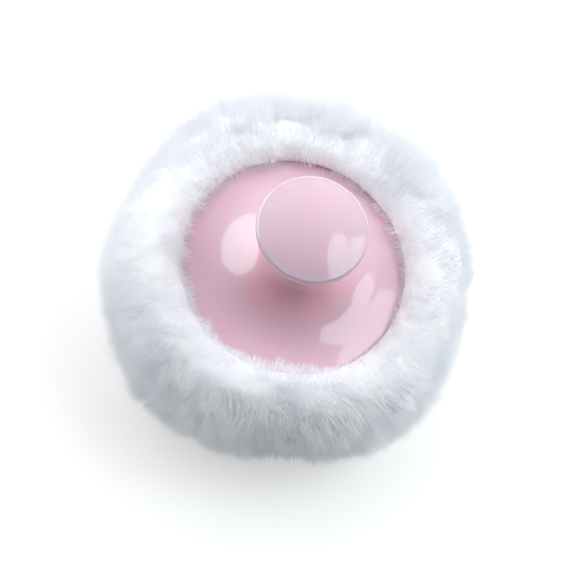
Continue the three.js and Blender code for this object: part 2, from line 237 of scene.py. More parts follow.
def turned(name, profile, steps=TURN_STEPS):
    """Merge a plane to one vertex, draw a profile from it in the XZ plane and spin it about Z."""
    piece = primitive(bpy.ops.mesh.primitive_plane_add, name, size=MM)
    bpy.ops.object.mode_set(mode="EDIT")
    bpy.ops.mesh.select_mode(type="VERT")
    bpy.ops.mesh.select_all(action="SELECT")
    bpy.ops.mesh.merge(type="CENTER")
    points = [Vector((r, 0, z)) for r, z in profile]
    bpy.ops.transform.translate(value=points[0])
    for before, after in zip(points, points[1:]):
        bpy.ops.mesh.extrude_region_move(TRANSFORM_OT_translate={"value": after - before})
    bpy.ops.mesh.select_all(action="SELECT")
    bpy.ops.mesh.spin(steps=steps, angle=math.tau, center=(0, 0, 0), axis=(0, 0, 1))
    close_edit()
    # Merging leaves the faces in any order, and the fibres are drawn face by face
    corners = [list(face.vertices) for face in piece.data.polygons]
    for face in corners:
        if len(face) == 3:
            face[:] = face[face.index(min(face)):] + face[:face.index(min(face))]
    places = [vertex.co.copy() for vertex in piece.data.vertices]
    piece.data.clear_geometry()
    piece.data.from_pydata(places, [], sorted(corners))
    return piece


def arc(centre, radii, start, end, steps, power=2.0):
    """Points of an elliptic or superelliptic arc, with angles in degrees."""
    points = []
    for step in range(steps + 1):
        angle = math.radians(start + (end - start) * step / steps)
        c, s = math.cos(angle), math.sin(angle)
        points.append((
            centre[0] + radii[0] * math.copysign(abs(c) ** (2 / power), c),
            centre[1] + radii[1] * math.copysign(abs(s) ** (2 / power), s),
        ))
    return points


def finish_piece(piece, material, slot, *nodes, angle=35.0):
    """Shade a piece smooth up to an angle, give it its material and seat it in the frame."""
    alone(piece)
    bpy.ops.object.shade_smooth_by_angle(angle=math.radians(angle))
    piece.data.materials.clear()
    piece.data.materials.append(material)
    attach(piece, BODY)
    if nodes:
        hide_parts(*nodes)


def apply_modifier(piece, kind, **settings):
    """Add a modifier, set it and apply it."""
    alone(piece)
    modifier = piece.modifiers.new(kind.title(), kind)
    for name, value in settings.items():
        setattr(modifier, name, value)
    bpy.ops.object.modifier_apply(modifier=modifier.name)


def cutter(size, centre, turn):
    """A box turned about Z, for a boolean."""
    box = primitive(bpy.ops.mesh.primitive_cube_add, "cutter", size=1)
    box.data.transform(
        Matrix.Rotation(turn, 4, "Z") @ Matrix.Translation(centre) @ Matrix.Diagonal((*size, 1))
    )
    return box


def combine(piece, boxes, operation):
    """Join boxes to a piece or cut them out of it, and remove them."""
    for box in boxes:
        apply_modifier(piece, "BOOLEAN", operation=operation, object=box, solver="EXACT")
        bpy.data.objects.remove(box)


def fill(tree, node, inputs):
    """Fill a node's inputs with values or links."""
    for key, value in inputs.items():
        socket = node.inputs[key]
        if isinstance(value, bpy.types.NodeSocket):
            tree.links.new(value, socket)
        else:
            socket.default_value = value


def add(tree, kind, inputs=None, **settings):
    """Add a node, set it, and fill its inputs."""
    made = tree.nodes.new(kind)
    for name, value in settings.items():
        setattr(made, name, value)
    fill(tree, made, inputs or {})
    return made


def maths(tree, operation, a, b=0.0):
    """One scalar operation."""
    return add(tree, "ShaderNodeMath", {0: a, 1: b}, operation=operation).outputs[0]


def vectors(tree, operation, a, b=None, scale=None):
    """One vector operation."""
    inputs = {0: a}
    if b is not None:
        inputs[1] = b
    if scale is not None:
        inputs["Scale"] = scale
    made = add(tree, "ShaderNodeVectorMath", inputs, operation=operation)
    return made.outputs["Value" if operation in ("LENGTH", "DOT_PRODUCT", "DISTANCE") else "Vector"]


def from_axis(tree, place):
    """How far a place is from the Z axis."""
    return vectors(tree, "LENGTH", vectors(tree, "MULTIPLY", place, (1.0, 1.0, 0.0)))


def new_material(name):
    """A node material with its Principled shader."""
    material = bpy.data.materials.new(name)
    material.use_nodes = True
    return material, material.node_tree, material.node_tree.nodes["Principled BSDF"]


def object_noise(tree, scale, detail):
    """Noise in the piece's own coordinates, with scale in waves per metre."""
    place = add(tree, "ShaderNodeTexCoord").outputs["Object"]
    inputs = {"Vector": place, "Scale": scale, "Detail": detail}
    return add(tree, "ShaderNodeTexNoise", inputs).outputs["Fac"]


def spread(tree, value, low, high):
    """A factor from 0 to 1 mapped to a range."""
    return add(tree, "ShaderNodeMapRange", {"Value": value, "To Min": low, "To Max": high}).outputs["Result"]


def mottle(tree, scale, detail, low, high):
    """A value that wanders over the piece in a range."""
    return spread(tree, object_noise(tree, scale, detail), low, high)


def uneven(tree, scale, detail, strength, depth):
    """A normal made uneven by noise."""
    inputs = {"Height": object_noise(tree, scale, detail), "Strength": strength, "Distance": depth}
    return add(tree, "ShaderNodeBump", inputs).outputs["Normal"]


def blend(tree, factor, first, second):
    """A colour between two."""
    inputs = {"Factor": factor, 6: (*first, 1), 7: (*second, 1)}
    return add(tree, "ShaderNodeMix", inputs, data_type="RGBA").outputs[2]


def gloss_pink(name, pink, stem):
    """Moulded gloss plastic, faintly cloudy and barely uneven, with a painted shade tint: redder round the
    stem, standing in for the reddish shade under the knob.
    """
    material, tree, shader = new_material(name)
    out = from_axis(tree, add(tree, "ShaderNodeTexCoord").outputs["Object"])
    # Painted shade: near the stem the pink takes the redder tint of the shade under the knob, fading out to
    # the plain pink on the flare
    limits = {"Value": out, "From Min": STEM_EDGE, "From Max": FLARE_EDGE}
    thin = add(tree, "ShaderNodeMapRange", limits, interpolation_type="SMOOTHSTEP").outputs[0]
    body = blend(tree, thin, [channel * share for channel, share in zip(pink, stem)], pink)
    fill(tree, shader, {
        "Base Color": vectors(tree, "SCALE", body, scale=mottle(tree, 60.0, 3.0, 0.96, 1.04)),
        "Roughness": mottle(tree, 900.0, 2.0, 0.13, 0.19),
        "Normal": uneven(tree, 260.0, 2.0, 0.03, 0.2 * MM),
        "IOR": 1.5,
        "Specular IOR Level": 0.2,
        "Subsurface Weight": 0.7,
        "Subsurface Radius": (1.0, 0.25, 0.3),
        "Subsurface Scale": 3.5 * MM,
        "Coat Weight": 1.0,
        "Coat Roughness": 0.03,
    })
    return material


def knob_seat(s):
    """Height of the knob's face that the cap lies on."""
    return s.knob_top - s.cap_dome - s.cap_edge - CLEARANCE


class POWDERPUFF_OT_handle(bpy.types.Operator):
    """Turn the handle's moulding: flange, hollow flare, stem and knob"""

    bl_idname = "powder_puff.handle"
    bl_label = "Handle"

    def execute(self, context):
        s = context.scene.powder_puff_handle
        rim, waist = s.rim_height, s.rim_height + s.waist_rise
        under, seat = rim - s.rim_thickness, knob_seat(s)
        neck = FLANGE_LOW.z
        # The flare is an ellipse, upright at the waist, that runs into the rim's band with no corner
        fall = math.tan(s.rim_slope)
        band, band_top = s.flange_radius - s.rim_band, rim + s.rim_band * fall
        reach, drop = band - s.waist_radius, waist - band_top
        ratio = fall * reach / drop
        cosine = ratio / (1 - ratio)
        sine = math.sqrt(1 - cosine**2)
        wide, tall = reach / (1 - cosine), drop / sine
        flare = s.waist_radius + wide
        join = 180 + math.degrees(math.atan2(sine, cosine))
        edge = s.flange_radius - s.rim_fillet
        crown = band_top - (edge + s.rim_fillet * math.sin(s.rim_slope) - band) * fall
        crown -= s.rim_fillet * math.cos(s.rim_slope)
        lip, lip_low = s.knob_radius - s.lip_fillet, seat - s.knob_lip
        skirt, skirt_inner, boss = 15.5 * MM, 13.5 * MM, 3.5 * MM
        pilot, pilot_top, ceiling = 1.6 * MM, 31.2 * MM, rim + 8.0 * MM
        inner_r, inner_z = wide + s.wall, tall + s.wall
        start = 180 + math.degrees(math.asin((waist - ceiling) / inner_z))
        end = 180 + math.degrees(math.acos((flare - skirt_inner) / inner_r))
        cup, cup_floor = s.knob_radius - 3.0 * MM, seat - 0.8 * MM
        socket, socket_floor = 3.5 * MM, CAP_LOW.z - CLEARANCE
        profile = [(0, pilot_top), (pilot, pilot_top), (pilot, neck), (boss, neck), (boss, ceiling)]
        profile += arc((flare, waist), (inner_r, inner_z), start, end, 12)
        profile += [(skirt_inner, neck), (skirt, neck), (skirt, under)]
        profile += arc((edge, under + s.rim_fillet), (s.rim_fillet,) * 2, -90, 0, 6)
        profile += arc((edge, crown), (s.rim_fillet,) * 2, 0, 90 - math.degrees(s.rim_slope), 8)
        profile += arc((flare, waist), (wide, tall), join, 180, 36)
        profile += arc((lip, waist), (lip - s.waist_radius, lip_low - waist), 180, 90, 24)[1:]
        profile += arc((lip, lip_low + s.lip_fillet), (s.lip_fillet,) * 2, -90, 0, 5)[1:]
        profile += [(s.knob_radius, seat), (cup, seat), (cup, cup_floor), (socket, cup_floor)]
        profile += [(socket, socket_floor), (0, socket_floor)]
        piece = turned("handle_moulding", profile)
        rib_low, rib_high = 23.05 * MM, rim + 0.5 * MM
        rib = (skirt_inner - boss + 1.0 * MM, 1.2 * MM, rib_high - rib_low)
        middle = Vector(((skirt_inner + boss) / 2, 0, (rib_low + rib_high) / 2))
        ribs = [cutter(rib, middle, (index + 0.5) * math.tau / 6) for index in range(6)]
        combine(piece, ribs, "UNION")
        finish_piece(piece, gloss_pink("moulded_pink", s.pink, STEM_SHADE_TINT), "handle_pink", "handle_body")
        return {"FINISHED"}


class POWDERPUFF_OT_cap(bpy.types.Operator):
    """Turn the knob's low domed cap with its slotted spigot"""

    bl_idname = "powder_puff.cap"
    bl_label = "Knob Cap"

    def execute(self, context):
        s = context.scene.powder_puff_handle
        seat = knob_seat(s) + CLEARANCE
        edge, top = s.knob_radius - s.cap_fillet, seat + s.cap_edge
        dome = (edge**2 + s.cap_dome**2) / (2 * s.cap_dome)
        centre = top + s.cap_dome - dome

        def ceiling(radius):
            return centre + math.sqrt((dome - 1.6 * MM) ** 2 - radius**2)

        spigot, bore, low = 3.35 * MM, 2.15 * MM, CAP_LOW.z
        ring, ring_inner, ring_low = 8.85 * MM, 7.85 * MM, seat - 0.8 * MM
        profile = [(0, ceiling(0)), (bore, ceiling(bore)), (bore, low), (spigot - 0.5 * MM, low)]
        profile += [(spigot, low + 0.5 * MM), (spigot, ceiling(spigot)), (ring_inner, ceiling(ring_inner))]
        profile += [(ring_inner, ring_low), (ring, ring_low), (ring, seat), (s.knob_radius, seat)]
        profile += arc((edge, top - s.cap_fillet), (s.cap_fillet,) * 2, 0, 78, 6)
        rise = math.degrees(math.acos(edge / dome))
        profile += arc((0, centre), (dome, dome), rise, 90, 24)
        piece = turned("knob_dome", profile)
        slot, middle = (8.0 * MM, 1.0 * MM, 5.5 * MM), Vector((0, 0, low + 1.75 * MM))
        combine(piece, [cutter(slot, middle, turn) for turn in (0, math.pi / 2)], "DIFFERENCE")
        finish_piece(piece, gloss_pink("cap_pink", s.pink, (1.0, 1.0, 1.0)), "cap_pink", "knob_cap")
        return {"FINISHED"}


def bearing(place):
    """Angle of a place about Z."""
    return math.atan2(place.y, place.x)


def heading(angle):
    """The way out from the axis at an angle about Z."""
    return Vector((math.cos(angle), math.sin(angle), 0))


def facing(angle, middle):
    """How far an angle about Z faces a side in degrees: 1 there, 0 from a right angle off."""
    return max(0.0, math.cos(angle - math.radians(middle)))


def lobe(angle):
    """How far the puff's outline stands out at an angle about Z."""
    return sum(depth * math.cos(count * angle + math.radians(phase)) for count, depth, phase in LOBES)


def bareness(angle):
    """How far the pile keeps off the flange at an angle about Z: 1 at the barest place, 0 elsewhere."""
    turn = (angle - math.radians(BARE_SIDE) + math.pi) % math.tau - math.pi
    return max(0.0, math.cos(turn * BARE_SHARPNESS)) if abs(turn) < BARE_REACH else 0.0


def layer_profile(s, side, low, crown, mouth, powers):
    """Section of a layer of the puff, with its crown, how far in from it its mouth is, and at what height."""
    (crown_r, crown_z), (inward, mouth_z) = crown, mouth
    profile = [(s.rest_radius * step / REST_STEPS, low) for step in range(REST_STEPS)]
    for centre, radii, start, steps, power in (
        ((s.rest_radius, s.widest), (side - s.rest_radius, s.widest - low), -90, UNDER_STEPS, powers[0]),
        ((crown_r, s.widest), (side - crown_r, crown_z - s.widest), 0, SIDE_STEPS, powers[1]),
        ((crown_r, mouth_z), (inward, crown_z - mouth_z), 90, MOUTH_STEPS, powers[2]),
    ):
        profile += arc(centre, radii, start, start + 90, steps, power)[int(start >= 0):]
    return profile


def backing_profile(s, h):
    """Section of the backing fabric, from the middle underneath round to the mouth at the flange."""
    crown = h.flange_radius + 3.4 * MM, h.rim_height + 1.6 * MM
    mouth = crown[0] - h.flange_radius - 0.7 * MM, h.rim_height - h.rim_thickness
    return layer_profile(s, s.radius - s.pile, 5.5 * MM, crown, mouth, (2.3, 2.2, 2.0))


def tip_profile(s, h):
    """Section through the tips of the pile, point for point with the backing's."""
    mouth = s.crest_radius - s.nest_radius, h.rim_height
    return layer_profile(s, s.radius, 0.3 * MM, (s.crest_radius, s.crest_height), mouth, (2.2, 2.2, 2.2))


class POWDERPUFF_OT_cover(bpy.types.Operator):
    """Turn the bag of backing fabric, swell it as cloth, turn its hem and give it its thickness"""

    bl_idname = "powder_puff.cover"
    bl_label = "Cover"

    def execute(self, context):
        s = context.scene.powder_puff_soft
        h = context.scene.powder_puff_handle
        profile = backing_profile(s, h)
        piece = turned("pile_backing", profile, SOFT_STEPS)
        self.swell(piece, profile, context.scene)
        self.hem(piece, profile[-1], h)
        apply_modifier(piece, "SOLIDIFY", thickness=s.fabric, offset=-1.0)
        finish_piece(piece, pile_white("backing_white", s), "pile_fabric", "plush_cover", angle=60)
        return {"FINISHED"}

    def swell(self, piece, profile, scene):
        """Blow the bag up as cloth at a hundred times its size, held at its mouth and where it rests."""
        low, mouth = profile[0][1] + CLEARANCE, profile[-1]
        held = piece.vertex_groups.new(name="held")
        for vertex in piece.data.vertices:
            x, y, z = vertex.co
            if z < low or math.dist((math.hypot(x, y), z), mouth) < CLEARANCE:
                held.add([vertex.index], 1.0, "REPLACE")
        piece.data.transform(Matrix.Scale(CLOTH_SCALE, 4))
        before = [vertex.co.copy() for vertex in piece.data.vertices]
        cloth = piece.modifiers.new("Cloth", "CLOTH")
        cloth.settings.vertex_group_mass = held.name
        cloth.settings.use_pressure = True
        cloth.settings.uniform_pressure_force = 4.0
        cloth.settings.effector_weights.gravity = 0.0
        for step in range(1, CLOTH_FRAMES + 1):
            scene.frame_set(step)
        alone(piece)
        bpy.ops.object.modifier_apply(modifier=cloth.name)
        scene.frame_set(1)
        for vertex, start in zip(piece.data.vertices, before):
            move = vertex.co - start
            move.length = min(move.length, CLOTH_LIMIT * CLOTH_SCALE)
            vertex.co = start + move
        piece.data.transform(Matrix.Scale(1 / CLOTH_SCALE, 4))
        piece.vertex_groups.clear()

    def hem(self, piece, mouth, h):
        """Draw the mouth in under the flange and turn it once round the elastic."""
        alone(piece)
        bpy.ops.object.mode_set(mode="EDIT")
        bpy.ops.mesh.select_mode(type="EDGE")
        bpy.ops.mesh.select_all(action="DESELECT")
        bpy.ops.mesh.select_non_manifold()
        top = HEM_HEIGHT + HEM_RADIUS
        path = [(h.flange_radius + 0.2 * MM, top + CLEARANCE), (h.flange_radius - 1.0 * MM, top)]
        path += [(HEM_RING, top)] + arc((HEM_RING, HEM_HEIGHT), (HEM_RADIUS,) * 2, 90, 315, 12)[1:]
        for before, after in zip([mouth] + path, path):
            rise = {"value": (0, 0, after[1] - before[1])}
            bpy.ops.mesh.extrude_region_move(TRANSFORM_OT_translate=rise)
            keep = after[0] / before[0]
            bpy.ops.transform.resize(value=(keep, keep, 1))
        bpy.ops.mesh.select_all(action="SELECT")
        bpy.ops.mesh.normals_make_consistent(inside=False)
        bpy.ops.object.mode_set(mode="OBJECT")


def fibre_fill(name):
    """Loose white filling: matt, with a tangled fine grain."""
    material, tree, shader = new_material(name)
    fill(tree, shader, {
        "Base Color": mottle(tree, 1800.0, 4.0, 0.80, 0.92),
        "Normal": uneven(tree, 700.0, 5.0, 0.6, 0.4 * MM),
        "Roughness": 0.95,
    })
    return material


class POWDERPUFF_OT_filling(bpy.types.Operator):
    """Turn the filling round the retaining plate and give it its lumps"""

    bl_idname = "powder_puff.filling"
    bl_label = "Filling"

    def execute(self, context):
        s = context.scene.powder_puff_soft
        low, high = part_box("fill_pad")
        plate_low, plate_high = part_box("retaining_plate")
        play, lump_depth, lump_wave = 0.3 * MM, 0.5 * MM, 5.0 * MM
        plate, hub = plate_high.x + play, 6.3 * MM
        floor = low.z + s.fill_under
        bulge, shoulder = 14.0 * MM, 26.0 * MM
        profile = [(s.rest_radius * step / 4, low.z) for step in range(4)]
        profile += arc((s.rest_radius, bulge), (high.x - s.rest_radius, bulge - low.z), -90, 0, 10)
        profile += arc((shoulder, bulge), (high.x - shoulder, high.z - bulge), 0, 90, 10)[1:]
        profile += [(plate, high.z), (plate, floor), (hub, floor), (hub, plate_low.z - play)]
        profile += [(0, plate_low.z - play)]
        piece = turned("filling", profile, SOFT_STEPS)
        for vertex in piece.data.vertices:
            if math.hypot(vertex.co.x, vertex.co.y) > plate + CLEARANCE:
                lump = abs(noise.noise(vertex.co / lump_wave)) * lump_depth
                vertex.co -= vertex.normal * lump
        finish_piece(piece, fibre_fill("fill_white"), "fill_fibre", "fill_pad", angle=60)
        return {"FINISHED"}


def woven_elastic(name):
    """White elastic: ribs along it, a soft sheen and a slightly grey wear."""
    material, tree, shader = new_material(name)
    fill(tree, shader, {
        "Base Color": mottle(tree, 500.0, 3.0, 0.72, 0.86),
        "Normal": uneven(tree, 3000.0, 2.0, 0.4, 0.1 * MM),
        "Roughness": 0.6,
        "Sheen Weight": 0.3,
    })
    return material


class POWDERPUFF_OT_elastic(bpy.types.Operator):
    """Model the round elastic with the ribs of its braid"""

    bl_idname = "powder_puff.elastic"
    bl_label = "Hem Elastic"

    def execute(self, context):
        low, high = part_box("hem_elastic")
        thick, middle = (high.z - low.z) / 2, (high.z + low.z) / 2
        depth, ribs, twist = 0.06, 60, 4
        piece = primitive(
            bpy.ops.mesh.primitive_torus_add,
            "elastic_ring",
            major_radius=HEM_RING,
            minor_radius=thick,
            major_segments=240,
            minor_segments=16,
        )
        for vertex in piece.data.vertices:
            turn = bearing(vertex.co)
            round_it = math.atan2(vertex.co.z, math.hypot(vertex.co.x, vertex.co.y) - HEM_RING)
            centre = heading(turn) * HEM_RING
            braid = 1 - depth * (1 + math.cos(ribs * turn + twist * round_it)) / 2
            vertex.co = centre + (vertex.co - centre) * braid + Vector((0, 0, middle))
        finish_piece(piece, woven_elastic("elastic_white"), "hem_elastic", "hem_elastic", angle=60)
        return {"FINISHED"}


def plain_plastic(name):
    """Natural plastic of a hidden moulding: milky, with a fine spark-eroded grain."""
    material, tree, shader = new_material(name)
    cloud = object_noise(tree, 90.0, 3.0)
    fill(tree, shader, {
        "Base Color": blend(tree, cloud, (0.78, 0.76, 0.72), (0.70, 0.68, 0.63)),
        "Roughness": mottle(tree, 1500.0, 2.0, 0.35, 0.5),
    })
    return material


def plated_steel(name):
    """Zinc-plated steel: faint blue and straw clouds and fine scratches."""
    material, tree, shader = new_material(name)
    cloud = object_noise(tree, 400.0, 3.0)
    fill(tree, shader, {
        "Base Color": blend(tree, cloud, (0.62, 0.64, 0.68), (0.70, 0.67, 0.58)),
        "Roughness": mottle(tree, 2500.0, 4.0, 0.22, 0.4),
        "Metallic": 1.0,
    })
    return material


class POWDERPUFF_OT_fastening(bpy.types.Operator):
    """Give the retaining plate and its screw their materials"""

    bl_idname = "powder_puff.fastening"
    bl_label = "Plate and Screw"

    def execute(self, context):
        for node, material in (
            ("retaining_plate", plain_plastic("plate_natural")),
            ("plate_screw", plated_steel("screw_plated")),
        ):
            mesh = bpy.data.objects[node].data
            mesh.materials.clear()
            mesh.materials.append(material)
        return {"FINISHED"}


def pile_white(name, s, clear=0.0):
    """White fibre, whiter towards the tip, with a little difference from fibre to fibre."""
    material, tree, shader = new_material(name)
    along = add(tree, "ShaderNodeAttribute", attribute_name="along").outputs["Fac"]
    tone = add(tree, "ShaderNodeAttribute", attribute_name="tone").outputs["Fac"]
    white = blend(tree, along, s.root_white, s.tip_white)
    white = vectors(tree, "SCALE", white, scale=spread(tree, tone, 0.985, 1.0))
    fill(tree, shader, {"Base Color": white, "Roughness": 0.75, "Specular IOR Level": 0.2})
    through = add(tree, "ShaderNodeBsdfTranslucent", {"Color": white}).outputs[0]
    lit = add(tree, "ShaderNodeMixShader", {0: clear, 1: shader.outputs[0], 2: through}).outputs[0]
    tree.links.new(lit, tree.nodes["Material Output"].inputs["Surface"])
    return material


def fibre_shape(name, rises):
    """One three-sided fibre of unit length and radius: how far each length rises, and what width it keeps."""
    fibre = primitive(bpy.ops.mesh.primitive_circle_add, name, vertices=3, radius=1, fill_type="NGON")
    bpy.ops.object.mode_set(mode="EDIT")
    for rise, keep in rises:
        bpy.ops.mesh.extrude_region_move(TRANSFORM_OT_translate={"value": (0, 0, rise)})
        bpy.ops.transform.resize(value=(keep, keep, 1))
    close_edit()
    return fibre


def kept(tree, geometry, name, value, kind="FLOAT"):
    """Store a value on the points under a name."""
    inputs = {"Geometry": geometry, "Name": name, "Value": value}
    stored = add(tree, "GeometryNodeStoreNamedAttribute", inputs, data_type=kind, domain="POINT")
    return stored.outputs["Geometry"]


def named(tree, name, kind="FLOAT"):
    """Read a stored value."""
    return add(tree, "GeometryNodeInputNamedAttribute", {"Name": name}, data_type=kind).outputs["Attribute"]


def chance(tree, low, high, seed):
    """A random number for each fibre."""
    return add(tree, "FunctionNodeRandomValue", {2: low, 3: high, "Seed": seed}).outputs[1]


def towards_cell(tree, place, size, share):
    """The way from a place to the middle of its lock, with locks of about a size."""
    cell = add(tree, "ShaderNodeTexVoronoi", {"Vector": place, "Scale": 1 / size}).outputs["Position"]
    return vectors(tree, "SCALE", vectors(tree, "SUBTRACT", cell, place), scale=share)


def flange_top(tree, place):
    """Height just over the flange at a place that is on it or in it, and 0 elsewhere."""
    h = bpy.context.scene.powder_puff_handle
    inside = maths(tree, "SUBTRACT", h.flange_radius, from_axis(tree, place))
    height = add(tree, "ShaderNodeSeparateXYZ", {0: place}).outputs[2]
    above = maths(tree, "GREATER_THAN", height, h.rim_height - h.rim_thickness)
    within = maths(tree, "MULTIPLY", maths(tree, "GREATER_THAN", inside, 0.0), above)
    rise = maths(tree, "MULTIPLY", inside, math.tan(h.rim_slope))
    top = maths(tree, "ADD", rise, h.rim_height + 0.1 * MM)
    return maths(tree, "MULTIPLY", within, top)


def coat(tree, tips, fibre, density, radius, short, seed):
    """Fibres from the backing out to the tips' surface, drawn into locks and let fall."""
    inputs = {"Mesh": tips, "Density": density, "Seed": seed}
    points = add(tree, "GeometryNodeDistributePointsOnFaces", inputs).outputs["Points"]
    place = add(tree, "GeometryNodeInputPosition").outputs[0]
    points = kept(tree, points, "tip", place, VECTOR)
    root, tip = named(tree, "root", VECTOR), named(tree, "tip", VECTOR)
    grow = vectors(tree, "SUBTRACT", tip, root)
    tuft = add(tree, "ShaderNodeTexNoise", {"Vector": tip, "Scale": TUFTS, "Detail": 2.0}).outputs["Fac"]
    even = maths(tree, "POWER", chance(tree, 0.0, 1.0, seed + 11), 2.0)
    share = maths(tree, "SUBTRACT", 1.02, maths(tree, "MULTIPLY", even, short))
    share = maths(tree, "MULTIPLY", share, spread(tree, tuft, 0.88, 1.10))
    span = maths(tree, "ADD", vectors(tree, "LENGTH", grow), named(tree, "fringe"))
    points = kept(tree, points, "reach", maths(tree, "MULTIPLY", share, span))
    points = kept(tree, points, "tone", chance(tree, 0.0, 1.0, seed + 17))
    inputs = {0: (-1, -1, -1), 1: (1, 1, 1), "Seed": seed + 23}
    stray = add(tree, "FunctionNodeRandomValue", inputs, data_type=VECTOR).outputs[0]
    points = kept(tree, points, "stray", stray, VECTOR)
    points = add(tree, "GeometryNodeSetPosition", {"Geometry": points, "Position": root}).outputs[0]
    shape = add(tree, "GeometryNodeObjectInfo", {"Object": fibre}).outputs["Geometry"]
    shape = kept(tree, shape, "along", add(tree, "ShaderNodeSeparateXYZ", {0: place}).outputs[2])
    turn = add(tree, "FunctionNodeAlignRotationToVector", {"Vector": grow}, axis="Z").outputs[0]
    thick = maths(tree, "MULTIPLY", chance(tree, 0.7, 1.2, seed + 31), radius)
    reach = named(tree, "reach")
    size = add(tree, "ShaderNodeCombineXYZ", {0: thick, 1: thick, 2: reach}).outputs[0]
    inputs = {"Points": points, "Instance": shape, "Rotation": turn, "Scale": size}
    grown = add(tree, "GeometryNodeInstanceOnPoints", inputs).outputs[0]
    grown = add(tree, "GeometryNodeRealizeInstances", {"Geometry": grown}).outputs[0]
    # Locks, waves and fall, all growing towards the tip
    bend = maths(tree, "POWER", named(tree, "along"), 1.5)
    swing = maths(tree, "MULTIPLY", bend, reach)
    wave = add(tree, "ShaderNodeTexNoise", {"Vector": tip, "Scale": WAVES, "Detail": 1.0}).outputs["Color"]
    wave = vectors(tree, "SUBTRACT", wave, (0.5, 0.5, 0.5))
    cell = add(tree, "ShaderNodeTexVoronoi", {"Vector": tip, "Scale": 1 / CLUMP}).outputs["Color"]
    lean = vectors(tree, "SUBTRACT", cell, (0.5, 0.5, 0.5))
    moves = [vectors(tree, "SCALE", lean, scale=maths(tree, "MULTIPLY", swing, LEAN))]
    for lock, pull in LOCKS:
        moves.append(towards_cell(tree, tip, lock, maths(tree, "MULTIPLY", bend, pull)))
    for way, much in ((wave, WAVE), (named(tree, "stray", VECTOR), STRAY), ((0.0, 0.0, -1.0), FALL)):
        moves.append(vectors(tree, "SCALE", way, scale=maths(tree, "MULTIPLY", swing, much)))
    moved = place
    for move in moves:
        moved = vectors(tree, "ADD", moved, move)
    low = maths(tree, "MAXIMUM", flange_top(tree, moved), LOWEST)
    floor = add(tree, "ShaderNodeCombineXYZ", {0: -1.0, 1: -1.0, 2: low}).outputs[0]
    moved = vectors(tree, "MAXIMUM", moved, floor)
    grown = add(tree, "GeometryNodeSetPosition", {"Geometry": grown, "Position": moved}).outputs[0]
    for name in ("root", "tip", "reach", "stray", "fringe"):
        grown = add(tree, "GeometryNodeRemoveAttribute", {"Geometry": grown, "Name": name}).outputs[0]
    return grown


